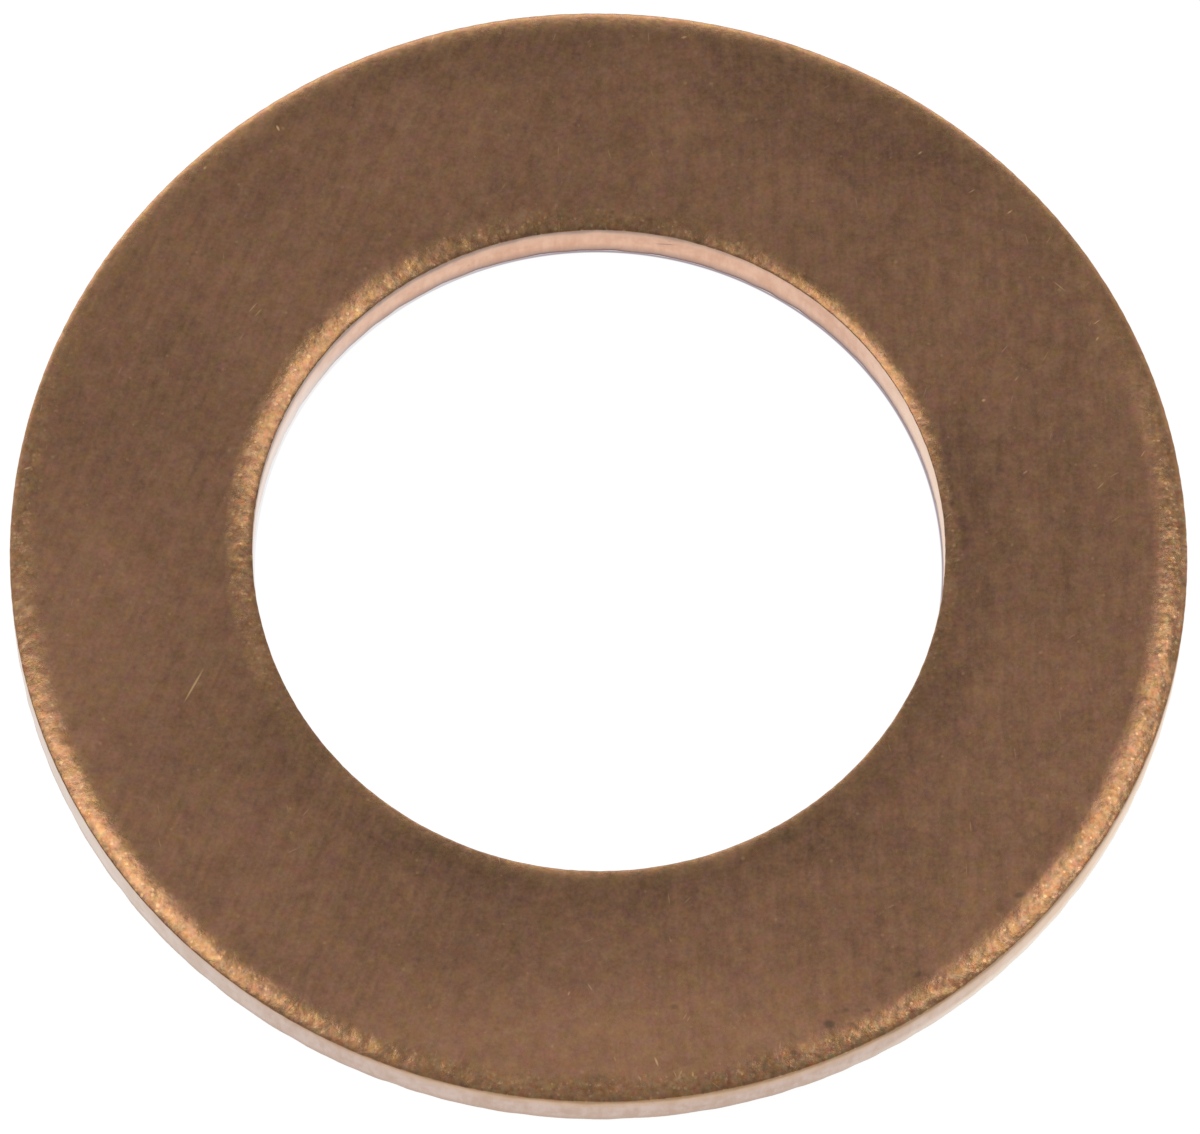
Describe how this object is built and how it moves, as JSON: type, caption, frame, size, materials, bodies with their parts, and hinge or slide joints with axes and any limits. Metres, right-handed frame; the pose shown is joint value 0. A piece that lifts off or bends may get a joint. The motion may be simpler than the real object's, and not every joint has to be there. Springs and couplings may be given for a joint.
{
  "type": "copper sealing washer",
  "caption": "Flat round copper ring, stamped from sheet with rolled-over upper rims, that is crushed under a plug or bolt head to seal it.",
  "frame": {"origin": "centre of the ring at its lower face", "axes": "+Z along the axis of the ring, out of the upper face with the rolled rims"},
  "size_m": [0.0222, 0.0222, 0.0011],
  "materials": {
    "copper": "bare copper: brown tarnished faces with a satin grain and scratches, paler where the walls were sheared"
  },
  "bodies": {
    "root": {"washer": "copper"}
  },
  "joints": []
}
